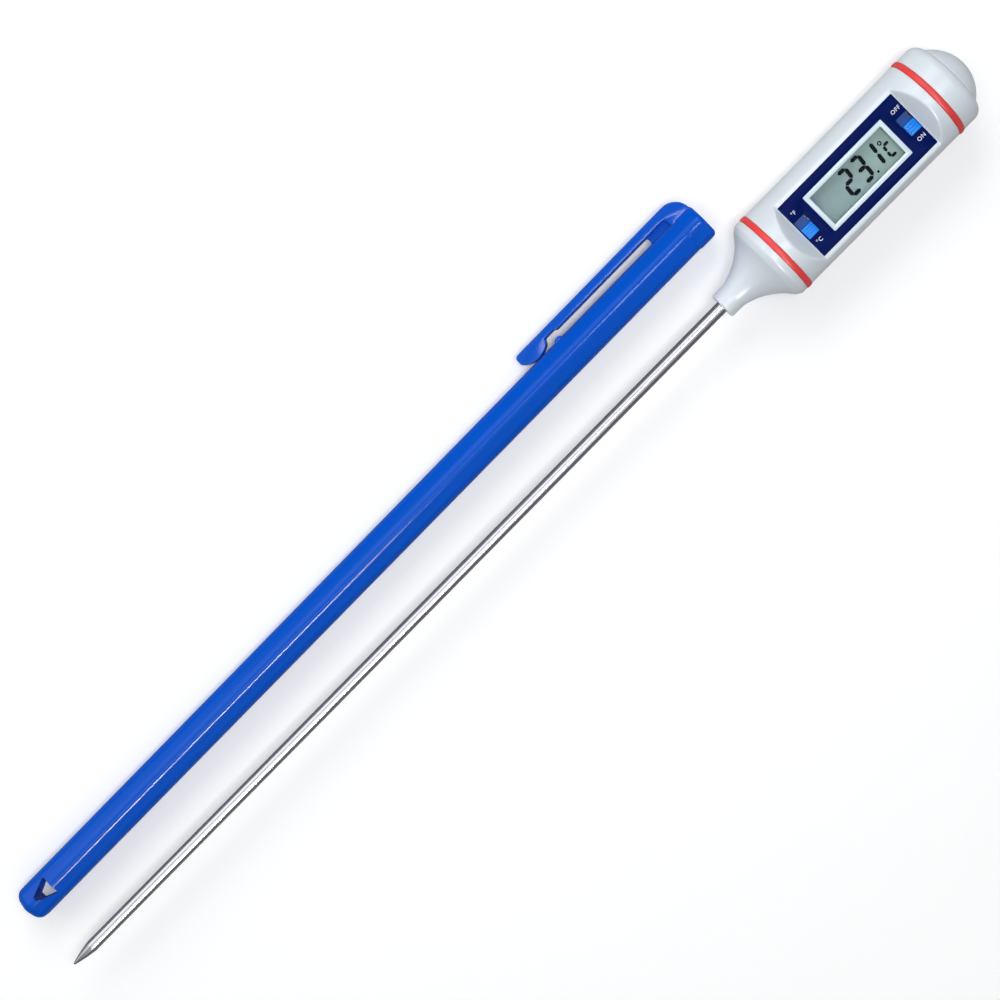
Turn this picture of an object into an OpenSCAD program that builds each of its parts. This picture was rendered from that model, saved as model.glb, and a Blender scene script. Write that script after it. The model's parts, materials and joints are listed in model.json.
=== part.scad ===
// Pen-style digital soil thermometer with its pocket sheath lying beside the stem.
// Frame: origin on the stem's axis at the front face of the neck, +X towards the battery cap,
// +Y towards the sheath, +Z up out of the display. Millimetres.

/* [Stem] */
// Length of the stem in front of the handle
stem_length = 204; // [100:1:260]
// Outside diameter of the stem tube
stem_d = 2.8; // [2.4:0.1:3.4]
// Wall of the stem tube
stem_wall = 0.3; // [0.2:0.05:0.4]
// Length of the ground point
point_length = 5.9; // [3:0.1:12]
// Radius of the blunt end of the point
point_r = 0.3; // [0.1:0.05:0.6]
// How much the tube is swaged down inside the handle, on radius
stem_swage = 0.2; // [0.1:0.05:0.3]

/* [Handle] */
// Outside diameter of the handle
handle_d = 20.2; // [17:0.1:26]
// Wall of the body tube
body_wall = 1.9; // [1.4:0.05:2.4]
// Radius of the neck where the stem leaves it
neck_r = 3.1; // [2.6:0.1:4]
// Length of the straight neck
neck_length = 3.3; // [1:0.1:8]
// Distance from the neck's face to the end of the flare
flare_x = 12.6; // [10:0.1:20]
// Radius of the flare's concave curve
flare_arc_r = 14.7; // [9:0.1:40]
// Step from the flare's edge out to the handle, on radius
shoulder_step = 1.0; // [0.4:0.1:1.4]
// Length of the nose cone in front of the front ring
nose_length = 15.5; // [15:0.1:24]
// Width of each red ring
ring_w = 1.4; // [1:0.05:3]
// How far the rings stand proud of the handle
ring_proud = 0.2; // [0:0.05:0.5]
// Length of the battery cap without its ring
cap_length = 9.6; // [9:0.05:14]
// Height of the cap's domed end
dome_h = 4.2; // [2:0.1:4.4]
// Radius of the cap's rounded shoulder
cap_shoulder_r = 2.2; // [1:0.1:2.4]

/* [Display pocket] */
// Depth of the flat below the top of the handle
pocket_depth = 4.0; // [3.6:0.05:4.8]
// Length of the sloped end wall towards the stem
front_slope = 3.2; // [2:0.1:6]
// Length of the sloped end wall towards the cap
rear_slope = 2.8; // [2:0.1:6]
// Land between the front ring and the pocket
front_land = 2.1; // [1.5:0.05:4]
// Land between the pocket and the rear ring
rear_land = 2.0; // [0.5:0.05:4]
// White lip left on each side of the printed panel
panel_lip = 0.95; // [0.4:0.05:1.5]
// Thickness of the printed panel
panel_t = 0.5; // [0.3:0.05:0.8]
// Wall of the body under the panel
face_wall = 0.8; // [0.6:0.05:1.2]

/* [Window] */
// Length of the white window frame
window_l = 22.7; // [20:0.1:32]
// Width of the white window frame
window_w = 9.8; // [8.5:0.1:10.8]
// Width of the visible rim of the frame
window_rim = 1.0; // [0.7:0.05:1.4]
// How far the frame stands above the panel
window_proud = 0.35; // [0:0.05:1]
// Thickness of the clear lens
lens_t = 0.75; // [0.4:0.05:0.8]
// Height of a digit
digit_h = 6.3; // [5:0.1:7.4]
// Width of a digit
digit_w = 3.0; // [2.4:0.1:3.4]
// Width of a digit's segment
segment_w = 0.86; // [0.4:0.02:0.9]

/* [Switches] */
// Length of panel kept for each switch, beyond the window frame
switch_zone = 5.35; // [5.3:0.05:9]
// Distance of a switch's centre from the end of the panel
switch_inset = 1.8; // [1.8:0.05:2.1]
// Size of the switch slot along the handle
slot_l = 3.0; // [2.6:0.1:3.2]
// Length of the switch slot across the handle
slot_w = 4.7; // [4:0.1:5.6]
// Travel of each switch
switch_travel = 2.0; // [1.5:0.1:2.4]
// How far the knobs stand above the panel
knob_proud = 0.8; // [0.3:0.05:1.5]

/* [Battery] */
// Diameter of the button cell
cell_d = 11.6; // [9.5:0.1:12.5]
// Thickness of the button cell
cell_t = 5.4; // [3.6:0.1:5.6]
// Wall of the threaded neck round the battery well
well_wall = 1.6; // [1:0.05:1.8]
// Length of the threaded neck that is inside the cap
thread_length = 4.25; // [3:0.05:5]

/* [Sheath] */
// Least wall of the sheath, between a flat and the bore
sheath_wall = 0.91; // [0.6:0.005:1.6]
// Length of the handle's neck that the sheath grips
neck_grip = 3.5; // [2:0.1:4]
// Room between the stem's point and the end of the bore
tip_room = 2.5; // [1:0.1:10]
// Thickness of the closed end
end_wall = 4.5; // [2:0.1:6]
// Corner radius of the closed end
end_corner_r = 2.0; // [0.5:0.1:2.4]
// Length of the collar at the mouth
collar_l = 4.6; // [2:0.1:8]
// How far the collar stands proud
collar_proud = 0.17; // [0.05:0.01:0.4]
// Place of the mouth along the handle, as the sheath lies
mouth_x = 10.5; // [-20:0.1:11]
// Gap between the sheath and the handle's side, as they lie
lay_gap = 1.3; // [1:0.01:20]
// How far the sheath has rolled over towards its clip, in degrees
sheath_roll = 10; // [0:1:15]
// Base width of the triangular hanging hole
hole_w = 5; // [2:0.1:5]
// Height of the triangular hanging hole along the sheath
hole_l = 4.8; // [2:0.1:5]

/* [Pocket clip] */
// Length of the clip, from its root's face to the free end
clip_l = 49.3; // [30:0.1:70]
// Distance of the root's face behind the mouth
clip_setback = 0.3; // [0:0.1:4]
// Gap between the clip's arm and the sheath
clip_gap = 1.7; // [1:0.1:3]
// Thickness of the arm
clip_t = 2.2; // [1.2:0.1:3]
// Width of the arm
clip_w = 4.5; // [3:0.1:6]
// Length of the solid root block
clip_root_l = 5.5; // [4.6:0.1:10]
// Distance from the root's face to where the arm bends
clip_bend = 13.3; // [12:0.1:20]
// Length of the rounded foot
foot_l = 7.5; // [4:0.1:10]

/* [Fits] */
// Radial clearance of the sheath's bore on the neck
sheath_fit = 0.05; // [0.05:0.01:0.15]
// Radial clearance between the cap and the threaded neck
thread_fit = 0.05; // [0.03:0.01:0.1]
// Clearance round bonded and snapped pieces
seat_fit = 0.05; // [0.02:0.01:0.1]
// Clearance round the sliding knobs
knob_fit = 0.1; // [0.05:0.01:0.15]
// Face clearance of a piece that turns or slides against another
face_fit = 0.04; // [0.02:0.01:0.1]

/* [Hidden] */
$fn = 72;
arc_steps = 18;
cut = 1;

// Stations along the handle
handle_r = handle_d / 2;
stem_r = stem_d / 2;
tail_r = stem_r - stem_swage;
stem_bore_r = stem_r - stem_wall;
tail_bore_r = tail_r - stem_wall;
body_x0 = nose_length + ring_w;
pocket_x0 = body_x0 + front_land;
panel_x0 = pocket_x0 + front_slope;
panel_l = window_l + 2 * switch_zone;
panel_x1 = panel_x0 + panel_l;
pocket_x1 = panel_x1 + rear_slope;
body_x1 = pocket_x1 + rear_land;
cap_x0 = body_x1 + ring_w;
cap_x1 = cap_x0 + cap_length;
neck_x1 = cap_x0 + thread_length;
window_x = (panel_x0 + panel_x1) / 2;

// Heights under the display
flat_z = handle_r - pocket_depth;
recess_z = flat_z - 0.4;
roof_z = recess_z - face_wall;
panel_z = recess_z + panel_t;
panel_w = 2 * (sqrt(handle_r * handle_r - flat_z * flat_z) - panel_lip);
bore_r = handle_r - body_wall;
roof_wall = 1.2;

// Display stack
lcd_l = window_l - 0.1;
lcd_w = window_w + 0.7;
lcd_top = roof_z - seat_fit;
lcd_front_t = 0.55;
segment_t = 0.1;
lcd_back_t = 0.6;
segment_z = lcd_top - lcd_front_t - segment_t;
lcd_bottom = segment_z - lcd_back_t;
board_top = lcd_bottom - 2.0;
board_t = 1.0;
board_bottom = board_top - board_t;
board_edge = 0.5;
board_low_r = max(abs(board_bottom), abs(board_top));
board_w = 2 * (sqrt(bore_r * bore_r - board_low_r * board_low_r) - board_edge);
board_x0 = panel_x0 - 1.4;
bulkhead_x0 = panel_x1 + 0.6;
bulkhead_t = 1.2;
board_x1 = bulkhead_x0 - 0.4;

// Switches
unit_x = panel_x0 + switch_inset;
power_x = panel_x1 - switch_inset;
knob_l = slot_l - 2 * knob_fit;
knob_w = slot_w - switch_travel - knob_fit;
knob_rest_y = -switch_travel / 2;
slider_t = 0.6;
slider_top = roof_z - knob_fit;
slider_l = slot_l + 0.5;
slider_w = slot_w + switch_travel + 2 * knob_fit;
case_top = slider_top - slider_t - knob_fit;
case_l = slider_l - 0.1;
case_w = slot_w + 2.1;
post_w = 1.2;
post_h = 1.0;
boss_r = 0.8;
boss_x = [unit_x + slider_l / 2 + boss_r + 0.05, power_x - slider_l / 2 - boss_r - 0.05];
boss_y = min(board_w / 2 - 2.4, sqrt(bore_r * bore_r - roof_z * roof_z) - boss_r);
screw_r = 0.5;

// Battery
well_r = cell_d / 2 + 0.3;
well_x0 = bulkhead_x0 + bulkhead_t;
thread_r = well_r + well_wall;
cap_bore_r = thread_r + thread_fit;
plate_t = 0.3;
cell_x0 = well_x0 + plate_t;
cap_floor_x = neck_x1 + 0.8;
strip_t = 0.25;
strip_w = 2.4;
wire_r = 0.3;

// Sheath, in its own frame: +X out of the mouth, centred on its axis
sheath_bore_r = neck_r + sheath_fit;
half_flat = sheath_bore_r + sheath_wall;
sheath_l = stem_length + neck_grip + tip_room + end_wall;
edge_round = 0.955;
corner_r = half_flat / cos(30) * edge_round;
collar_half = half_flat + collar_proud;
collar_r = collar_half / cos(30) * edge_round;
mouth_round = 0.9;
ring_r = handle_r + ring_proud;
sheath_y = handle_r + lay_gap + half_flat;
sheath_z = collar_r - ring_r;
arm_y0 = half_flat + clip_gap;
arm_y1 = arm_y0 + clip_t;
arm_y = (arm_y0 + arm_y1) / 2;
clip_x1 = -clip_setback;
clip_x0 = clip_x1 - clip_l;
bend_x = clip_x1 - clip_bend;
knuckle_r = clip_t / 2;
knuckle_gap = 0.05;

// Points of an arc about c, from angle a0 to a1
function arc(c, r, a0, a1, n = arc_steps) =
    [for (i = [0:n]) let (a = a0 + (a1 - a0) * i / n) [c[0] + r * cos(a), c[1] + r * sin(a)]];
// Centre of the arc of radius r through p and q, on the left of the way from p to q
function arc_centre(p, q, r) =
    let (m = (p + q) / 2, d = q - p, h = sqrt(r * r - norm(d) * norm(d) / 4), n = [-d[1], d[0]] / norm(d))
    m + h * n;
function angle_of(c, p) = atan2(p[1] - c[1], p[0] - c[0]);

module rod_x(x0, x1, r) {
    translate([x0, 0, 0]) rotate([0, 90, 0]) cylinder(h = x1 - x0, r = r);
}

// Turns a profile of [radius, x] points about the X axis
module turned_x(points) {
    rotate([0, 90, 0]) rotate_extrude() polygon(points);
}

module block(x0, x1, y0, y1, z0, z1) {
    translate([x0, y0, z0]) cube([x1 - x0, y1 - y0, z1 - z0]);
}

// Side view outline of the display pocket, grown inwards by d, as a cutter across the handle
module pocket_cut(d, top) {
    lean_f = atan2(pocket_depth, front_slope);
    lean_r = atan2(pocket_depth, rear_slope);
    rise = top - (flat_z - d);
    foot_f = panel_x0 - d * tan(lean_f / 2);
    foot_r = panel_x1 + d * tan(lean_r / 2);
    translate([0, handle_d, 0]) rotate([90, 0, 0]) linear_extrude(2 * handle_d)
        polygon([
            [foot_f, flat_z - d], [foot_r, flat_z - d],
            [foot_r + rise / tan(lean_r), top], [foot_f - rise / tan(lean_f), top]
        ]);
}

// ---- Stem and sensor ----
module stem_tube() {
    cone_x = -stem_length + point_length;
    color("silver") difference() {
        turned_x(concat(
            [[0, -stem_length]],
            arc([0, -stem_length + point_r], point_r, -60, -15, 6),
            [[stem_r, cone_x], [stem_r, 0], [tail_r, 0], [tail_r, flare_x + 1.4], [0, flare_x + 1.4]]
        ));
        rod_x(cone_x + 1, -1, stem_bore_r);
        rod_x(-1.5, flare_x + 2, tail_bore_r);
    }
}

module stem_ferrule() {
    color("goldenrod") difference() {
        rod_x(flare_x - 3.6 + seat_fit, flare_x + 0.3, neck_r - 0.15);
        rod_x(flare_x - 5, flare_x + 2, tail_r + 0.02);
    }
}

bead_x = -stem_length + point_length + 4;
bead_r = 0.65;
lead_r = 0.16;
lead_y = 0.34;
module thermistor_bead() {
    color("black") union() {
        rod_x(bead_x, bead_x + 2.2, bead_r);
        translate([bead_x, 0, 0]) sphere(bead_r);
    }
}

module thermistor_leads() {
    color("firebrick") for (side = [-1, 1]) {
        translate([0, side * lead_y, 0]) rod_x(bead_x + 2.2, board_x0 + 2, lead_r);
        translate([board_x0 + 1.8, side * lead_y, 0]) cylinder(h = board_bottom, r = lead_r);
    }
}

module tip_potting() {
    color("dimgray") difference() {
        rod_x(bead_x - 2.6, bead_x + 6, stem_bore_r - 0.02);
        rod_x(bead_x - 0.7, bead_x + 2.25, bead_r + 0.04);
        for (side = [-1, 1]) translate([0, side * lead_y, 0]) rod_x(bead_x + 1, bead_x + 7, lead_r + 0.03);
    }
}

// ---- Handle shells and seals ----
nose_bore_x = flare_x - 3.6;
spigot_r = bore_r - seat_fit;
spigot_l = ring_w + 1.95;
nose_cavity_r = spigot_r - 1.4;
module nose_cone() {
    flare_r = handle_r - shoulder_step;
    p = [neck_r, neck_length];
    q = [flare_r, flare_x];
    c = arc_centre(q, p, flare_arc_r);
    shoulder_l = 1.4;
    shoulder_arc = (shoulder_step * shoulder_step + shoulder_l * shoulder_l) / (2 * shoulder_step);
    color("whitesmoke") difference() {
        turned_x(concat(
            [[0, 0]], arc([neck_r - 0.4, 0.4], 0.4, -90, 0, 6),
            arc(c, flare_arc_r, angle_of(c, p), angle_of(c, q)),
            arc([handle_r - shoulder_arc, flare_x + shoulder_l], shoulder_arc,
                -asin(shoulder_l / shoulder_arc), 0, 6),
            [[handle_r, nose_length], [spigot_r, nose_length],
                [spigot_r, nose_length + spigot_l], [0, nose_length + spigot_l]]
        ));
        rod_x(-cut, nose_length, tail_r + 0.02);
        rod_x(nose_bore_x, nose_length, neck_r - 0.1);
        rod_x(flare_x + 1, nose_length + spigot_l + cut, nose_cavity_r);
    }
}

// Flat ring with a gently rounded outside, between x0 and x1
module seal_ring(x0, x1, inner_r) {
    mid = (x0 + x1) / 2;
    half = (x1 - x0) / 2;
    base_r = handle_r - 0.15;
    bulge = ring_r - base_r;
    bow = (half * half + bulge * bulge) / (2 * bulge);
    a = asin(half / bow);
    turned_x(concat([[inner_r, x0]], arc([ring_r - bow, mid], bow, -a, a, 10), [[inner_r, x1]]));
}

module front_seal_ring() {
    color("tomato") seal_ring(nose_length, body_x0, spigot_r + seat_fit);
}

module body_tube() {
    color("whitesmoke") difference() {
        union() {
            difference() {
                union() {
                    rod_x(body_x0, body_x1, handle_r);
                    rod_x(body_x1 - cut, neck_x1, thread_r);
                }
                pocket_cut(0, handle_r + cut);
                block(panel_x0 + 0.05, panel_x1 - 0.05, -panel_w / 2 - seat_fit, panel_w / 2 + seat_fit,
                    recess_z, flat_z + cut);
                difference() {
                    rod_x(body_x0 - cut, bulkhead_x0, bore_r);
                    pocket_cut(roof_wall, handle_r);
                }
            }
            for (x = boss_x, side = [-1, 1])
                translate([x, side * boss_y, board_top]) cylinder(h = roof_z - board_top + 0.3, r = boss_r);
        }
        rod_x(well_x0, neck_x1 + cut, well_r);
        block(window_x - window_l / 2 - seat_fit, window_x + window_l / 2 + seat_fit,
            -window_w / 2 - seat_fit, window_w / 2 + seat_fit, roof_z - cut, flat_z);
        for (x = [unit_x, power_x])
            block(x - slot_l / 2, x + slot_l / 2, -slot_w / 2, slot_w / 2, roof_z - cut / 2, flat_z);
        for (x = boss_x, side = [-1, 1])
            translate([x, side * boss_y, board_top - cut]) cylinder(h = cut + 2.3, r = screw_r + 0.02);
        block(bulkhead_x0 - cut, well_x0 + cut, -1.1, 1.1, board_bottom - 0.6, board_bottom + 0.1);
        block(board_x1 - 2, neck_x1 + cut, -strip_w / 2 - seat_fit, strip_w / 2 + seat_fit,
            -well_r - strip_t - seat_fit, -well_r + 0.8);
    }
}

module panel_openings(z0, z1) {
    block(window_x - window_l / 2 - seat_fit, window_x + window_l / 2 + seat_fit,
        -window_w / 2 - seat_fit, window_w / 2 + seat_fit, z0, z1);
    for (x = [unit_x, power_x])
        block(x - slot_l / 2, x + slot_l / 2, -slot_w / 2, slot_w / 2, z0, z1);
}

module face_panel() {
    color("midnightblue") difference() {
        block(panel_x0 + 0.1, panel_x1 - 0.1, -panel_w / 2, panel_w / 2, recess_z, panel_z);
        panel_openings(recess_z - cut, panel_z + cut);
    }
}

module window_frame() {
    lens_edge = 0.35;
    glass_l = window_l - 2 * window_rim;
    glass_w = window_w - 2 * window_rim;
    color("aliceblue") difference() {
        block(window_x - window_l / 2, window_x + window_l / 2, -window_w / 2, window_w / 2,
            roof_z, panel_z + window_proud);
        block(window_x - glass_l / 2, window_x + glass_l / 2, -glass_w / 2, glass_w / 2,
            roof_z - cut, panel_z + window_proud + cut);
        block(window_x - glass_l / 2 - lens_edge, window_x + glass_l / 2 + lens_edge,
            -glass_w / 2 - lens_edge, glass_w / 2 + lens_edge, roof_z - cut, roof_z + lens_t + seat_fit);
    }
}

module window_lens() {
    l = window_l - 2 * window_rim + 0.6;
    w = window_w - 2 * window_rim + 0.6;
    color("lightcyan", 0.4)
        block(window_x - l / 2, window_x + l / 2, -w / 2, w / 2, roof_z, roof_z + lens_t);
}

// ---- Display and electronics ----
module lcd_glass() {
    color("lightgray", 0.5) block(window_x - lcd_l / 2, window_x + lcd_l / 2, -lcd_w / 2, lcd_w / 2,
        segment_z + segment_t, lcd_top);
}

module lcd_backing() {
    color("darkseagreen") block(window_x - lcd_l / 2, window_x + lcd_l / 2, -lcd_w / 2, lcd_w / 2,
        lcd_bottom, segment_z);
}

// One straight segment with pointed ends, from a to b
module segment(a, b, w) {
    d = (b - a) / norm(b - a);
    n = [-d[1], d[0]] * w / 2;
    polygon([a, a + d * w / 2 + n, b - d * w / 2 + n, b, b - d * w / 2 - n, a + d * w / 2 - n]);
}

// Seven-segment figure h high and w wide with its middle at the origin; on lists the lit segments,
// numbered top, upper right, lower right, bottom, lower left, upper left, middle
module figure(on, h, w, sw) {
    lean = 0.1;
    half_h = (h - sw) / 2;
    half_w = (w - sw) / 2;
    function node_at(i, j) = [i * half_w + lean * j * half_h, j * half_h];
    corners = [
        [node_at(-1, 1), node_at(1, 1)], [node_at(1, 1), node_at(1, 0)], [node_at(1, 0), node_at(1, -1)],
        [node_at(-1, -1), node_at(1, -1)], [node_at(-1, 0), node_at(-1, -1)],
        [node_at(-1, 1), node_at(-1, 0)], [node_at(-1, 0), node_at(1, 0)]
    ];
    gap = 0.06;
    for (k = on) {
        d = (corners[k][1] - corners[k][0]) / norm(corners[k][1] - corners[k][0]);
        segment(corners[k][0] + d * gap, corners[k][1] - d * gap, sw);
    }
}

module lcd_segments() {
    small_h = digit_h * 0.55;
    small_w = digit_w * 0.72;
    small_sw = segment_w * 0.72;
    pitch = digit_w * 1.25;
    foot_y = -digit_h / 2;
    color("black") translate([window_x, 0, segment_z]) linear_extrude(segment_t) {
        translate([-pitch * 0.52, 0]) figure([0, 1, 6, 4, 3], digit_h, digit_w, segment_w);
        translate([pitch * 0.48, 0]) figure([0, 1, 6, 2, 3], digit_h, digit_w, segment_w);
        translate([pitch * 1.4, 0]) figure([1, 2], digit_h, digit_w, segment_w);
        translate([pitch * 2.35, foot_y + small_h / 2 + 0.2]) figure([0, 3, 4, 5], small_h, small_w, small_sw);
        translate([pitch * 1.03, foot_y + 0.3]) square([0.5, 0.5], center = true);
        translate([pitch * 2.14, foot_y + digit_h * 0.69]) difference() {
            circle(0.5, $fn = 24);
            circle(0.24, $fn = 24);
        }
    }
}

module lcd_holder() {
    rail = 0.7;
    bar = 1.0;
    out_w = lcd_w / 2 + seat_fit + rail;
    color("ivory") {
        difference() {
            block(window_x - lcd_l / 2, window_x + lcd_l / 2, -out_w, out_w, board_top, lcd_bottom);
            block(window_x - lcd_l / 2 + bar, window_x + lcd_l / 2 - bar,
                -lcd_w / 2 - seat_fit, lcd_w / 2 + seat_fit, board_top - cut, lcd_bottom + cut);
        }
        for (side = [-1, 1])
            block(window_x - lcd_l / 2, window_x + lcd_l / 2,
                side < 0 ? -out_w : out_w - rail, side < 0 ? -out_w + rail : out_w,
                lcd_bottom - 0.1, segment_z);
    }
}

module contact_strips() {
    color("pink") for (side = [-1, 1])
        block(window_x - lcd_l / 2 + 1.2, window_x + lcd_l / 2 - 1.2,
            side * (lcd_w / 2 - 0.9) - 0.5, side * (lcd_w / 2 - 0.9) + 0.5, board_top, lcd_bottom);
}

module circuit_board() {
    color("seagreen") difference() {
        block(board_x0, board_x1, -board_w / 2, board_w / 2, board_bottom, board_top);
        for (x = boss_x, side = [-1, 1])
            translate([x, side * boss_y, board_bottom - cut]) cylinder(h = board_t + 2 * cut, r = screw_r + 0.1);
    }
}

module board_screws() {
    color("silver") for (x = boss_x, side = [-1, 1]) translate([x, side * boss_y, 0]) difference() {
        union() {
            translate([0, 0, board_bottom - 0.6]) cylinder(h = 0.6, r = 1.0);
            translate([0, 0, board_bottom - 0.1]) cylinder(h = board_t + 2.1, r = screw_r);
        }
        translate([-1.2, -0.12, board_bottom - 0.8]) cube([2.4, 0.24, 0.45]);
        translate([-0.12, -1.2, board_bottom - 0.8]) cube([0.24, 2.4, 0.45]);
    }
}

module chip_cover() {
    cap_h = 1.1;
    ball_r = 6;
    color("black") intersection() {
        translate([window_x - 4, 0, board_bottom - cap_h + ball_r]) sphere(ball_r);
        block(window_x - 9, window_x + 1, -5, 5, board_bottom - 2, board_bottom);
    }
}

module quartz_crystal() {
    color("silver") translate([window_x + 5, -3, board_bottom - 1.05]) rotate([-90, 0, 0])
        cylinder(h = 6, r = 1.05);
}

module chip_resistors() {
    color("dimgray") for (i = [0:3])
        block(window_x + 7.5 + 1.6 * i, window_x + 8.3 + 1.6 * i, -2.4, -0.8, board_bottom - 0.5, board_bottom);
}

module switch_case(x) {
    color("silver") difference() {
        block(x - case_l / 2, x + case_l / 2, -case_w / 2, case_w / 2, board_top, case_top);
        block(x - post_w / 2 - 0.2, x + post_w / 2 + 0.2, -slot_w / 2 + 0.5, slot_w / 2 - 0.5,
            case_top - post_h - 0.2, case_top + cut);
    }
}

// Knob drawn at its rest place, towards -Y; its ribs run along the handle
module switch_knob(x) {
    rib_count = 3;
    rib_pitch = 0.62;
    knob_top = panel_z + knob_proud;
    color("dodgerblue") translate([x, knob_rest_y, 0]) difference() {
        union() {
            block(-slider_l / 2 + 0.1, slider_l / 2 - 0.1, -slider_w / 2, slider_w / 2,
                slider_top - slider_t, slider_top);
            block(-knob_l / 2, knob_l / 2, -knob_w / 2, knob_w / 2, slider_top - 0.1, knob_top);
            block(-post_w / 2, post_w / 2, -0.55, 0.55, slider_top - slider_t - post_h, slider_top - 0.3);
        }
        for (i = [0:rib_count - 1])
            block(-slot_l, slot_l, (i - 1) * rib_pitch - 0.11, (i - 1) * rib_pitch + 0.11,
                knob_top - 0.18, knob_top + cut);
    }
}

module power_switch_case() { switch_case(power_x); }
module power_switch_knob() { switch_knob(power_x); }
module unit_switch_case() { switch_case(unit_x); }
module unit_switch_knob() { switch_knob(unit_x); }

// ---- Battery ----
module cell_plate() {
    color("silver") union() {
        rod_x(well_x0, well_x0 + plate_t, well_r - 0.3);
        block(board_x1 - 2, well_x0 + 0.1, -1, 1, board_bottom - 0.4, board_bottom);
    }
}

module ground_strip() {
    color("gold") union() {
        block(board_x1 - 1.4, neck_x1 + 0.35, -strip_w / 2, strip_w / 2, -well_r - strip_t, -well_r);
    }
}

module button_cell() {
    rim = 0.35;
    color("gainsboro") union() {
        rod_x(cell_x0, cell_x0 + cell_t - rim, cell_d / 2);
        rod_x(cell_x0 + cell_t - rim - 0.1, cell_x0 + cell_t, cell_d / 2 - 0.9);
    }
}

module rear_seal_ring() {
    color("tomato") seal_ring(body_x1 + face_fit, cap_x0 - face_fit, thread_r + thread_fit);
}

module battery_cap() {
    dome_r = handle_r - cap_shoulder_r;
    sphere_r = (dome_r * dome_r + dome_h * dome_h) / (2 * dome_h);
    dome_a = asin(dome_r / sphere_r);
    shoulder_x = cap_x1 - dome_h;
    color("whitesmoke") difference() {
        turned_x(concat(
            [[0, cap_x0], [handle_r, cap_x0]],
            arc([dome_r, shoulder_x - cap_shoulder_r], cap_shoulder_r, 0, 90, 12),
            [for (i = [1:arc_steps]) let (a = dome_a * (1 - i / arc_steps))
                [sphere_r * sin(a), cap_x1 - sphere_r + sphere_r * cos(a)]]
        ));
        rod_x(cap_x0 - cut, cap_floor_x, cap_bore_r);
        rod_x(cap_floor_x - cut, cap_floor_x + 1.6, cap_bore_r - 2);
    }
}

// Coil that presses on the cell, on a washer against the cap's floor
coil_turns = 2.5;
coil_rings = 40;
coil_sides = 8;
coil_x0 = cell_x0 + cell_t + wire_r + 0.05;
coil_x1 = cap_floor_x - plate_t - wire_r + 0.1;
function coil_point(t, k) =
    let (turn = 360 * coil_turns * t, r = 2.6 + 1.2 * t, a = 360 * k / coil_sides)
    let (rr = r + wire_r * cos(a))
    [coil_x0 + (coil_x1 - coil_x0) * t + wire_r * sin(a), rr * cos(turn), rr * sin(turn)];
module cap_spring() {
    points = [for (i = [0:coil_rings], k = [0:coil_sides - 1]) coil_point(i / coil_rings, k)];
    sides = [for (i = [0:coil_rings - 1], k = [0:coil_sides - 1])
        let (a = i * coil_sides + k, b = i * coil_sides + (k + 1) % coil_sides)
        [a, b, b + coil_sides, a + coil_sides]];
    first = [for (k = [coil_sides - 1:-1:0]) k];
    last = [for (k = [0:coil_sides - 1]) coil_rings * coil_sides + k];
    color("silver") {
        polyhedron(points, concat([first], sides, [last]));
        difference() {
            rod_x(cap_floor_x - plate_t, cap_floor_x, cap_bore_r - 0.3);
            rod_x(cap_floor_x - 2, cap_floor_x + cut, 3);
        }
    }
}

// ---- Sheath and clip ----
module hexagon(half) {
    circle(r = half / cos(30), $fn = 6);
}

// Six-sided bar with softened edges and flats at +Y and -Y, from x0 to x1
module hex_bar(x0, x1, half, round_r) {
    translate([x0, 0, 0]) rotate([0, 90, 0]) linear_extrude(x1 - x0) intersection() {
        hexagon(half);
        circle(r = round_r, $fn = 96);
    }
}

module sheath_place() {
    translate([mouth_x, sheath_y, sheath_z]) rotate([-sheath_roll, 0, 0]) children();
}

// Clip outline seen from above: the arm from its bend to the free end, with its foot
module arm_outline() {
    foot_h = clip_gap - knuckle_gap;
    foot_r = (foot_l * foot_l / 4 + foot_h * foot_h) / (2 * foot_h);
    foot_a = asin(foot_l / 2 / foot_r);
    foot_x = clip_x0 + foot_l / 2 + 0.2;
    waist = 0.45;
    polygon(concat(
        [[bend_x, arm_y1]],
        arc([bend_x, arm_y], knuckle_r, 80, -80, 10),
        [[bend_x, arm_y0], [foot_x + foot_l / 2 + 3.2, arm_y0],
            [foot_x + foot_l / 2 + 2.7, arm_y0 + waist], [foot_x + foot_l / 2, arm_y0 + waist]],
        [for (p = arc([foot_x, arm_y0 - foot_h + foot_r], foot_r, -90 + foot_a, -90 - foot_a, 12)) p],
        arc([clip_x0 + 0.8, arm_y1 - 0.8], 0.8, 180, 90, 6)
    ));
}

// Root of the clip seen from above: block, outer corner, arm stub and its hollow end
module root_outline() {
    corner = 4.4;
    block_x = clip_x1 - clip_root_l;
    difference() {
        union() {
            polygon(concat(
                [[bend_x, arm_y0], [block_x, arm_y0], [block_x, half_flat - 0.5], [clip_x1, half_flat - 0.5]],
                arc([clip_x1 - corner, arm_y1 - corner], corner, 0, 90, 10),
                [[bend_x, arm_y1]]
            ));
        }
        translate([bend_x, arm_y]) circle(knuckle_r + knuckle_gap, $fn = 48);
    }
}

module web_outline() {
    web_x0 = clip_x1 - clip_root_l - 6.3;
    difference() {
        translate([web_x0, half_flat - 0.4]) square([6.6, clip_gap + 0.7]);
        translate([web_x0 - 0.6, half_flat + clip_gap / 2]) circle(1.15, $fn = 40);
    }
}

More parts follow.
